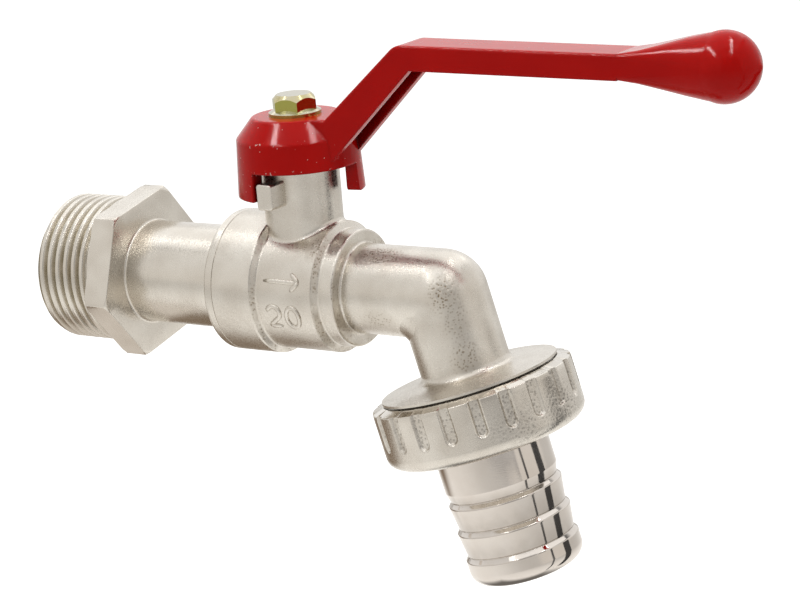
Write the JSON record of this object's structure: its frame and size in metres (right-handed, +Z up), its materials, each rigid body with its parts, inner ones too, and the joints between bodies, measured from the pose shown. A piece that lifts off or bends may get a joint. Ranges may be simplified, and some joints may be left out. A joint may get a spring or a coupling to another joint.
{
  "type": "hose tap",
  "caption": "Quarter-turn garden hose tap with a threaded inlet, cranked red lever, angled spout, fluted union nut and barbed hose tail.",
  "frame": {"origin": "on the pipe axis, at the foot of the inlet thread where the hexagon starts", "axes": "+X along the water's way from the inlet to the spout, +Z up along the valve stem"},
  "size_m": [0.1353, 0.035, 0.0945],
  "materials": {
    "satin_nickel": "satin nickel plate over shot-blasted brass",
    "polished_nickel": "polished nickel plate",
    "red_paint": "gloss red paint",
    "yellow_zinc": "yellow chromated zinc",
    "plain_brass": "turned brass",
    "white_ptfe": "matte white",
    "black_rubber": "matte black"
  },
  "bodies": {
    "valve_body": {"body": "satin_nickel", "inlet_connector": "satin_nickel", "inlet_seat": "white_ptfe", "outlet_seat": "white_ptfe", "thrust_washer": "white_ptfe", "lower_packing": "white_ptfe", "upper_packing": "white_ptfe", "gland_nut": "plain_brass"},
    "lever_group": {"lever": "red_paint", "lever_bolt": "yellow_zinc", "stem": "plain_brass", "ball": "polished_nickel", "stem_o_ring": "black_rubber"},
    "gasket_carrier": {"hose_gasket": "black_rubber"},
    "union_nut_group": {"union_nut": "satin_nickel"},
    "hose_tail_group": {"hose_tail": "polished_nickel"}
  },
  "joints": [
    {"name": "lever_turn", "type": "hinge", "parent": "valve_body", "child": "lever_group", "pos_m": [0.03876, 0, 0], "axis": [0, 0, 1], "range_deg": [-90, 0]},
    {"name": "nut_travel", "type": "slide", "parent": "valve_body", "child": "gasket_carrier", "axis": [0.2672, 0, -0.9636], "range_m": [0, 0.00454]},
    {"name": "nut_turn", "type": "hinge", "parent": "gasket_carrier", "child": "union_nut_group", "pos_m": [0.06523, 0, 0], "axis": [0.2672, 0, -0.9636], "range_deg": [0, 900]},
    {"name": "tail_swivel", "type": "hinge", "parent": "gasket_carrier", "child": "hose_tail_group", "pos_m": [0.06523, 0, 0], "axis": [0.2672, 0, -0.9636], "continuous": true}
  ],
  "couplings": [
    {"joint": "nut_travel", "follows": "nut_turn", "m_per_rad": 0.00028871}
  ]
}
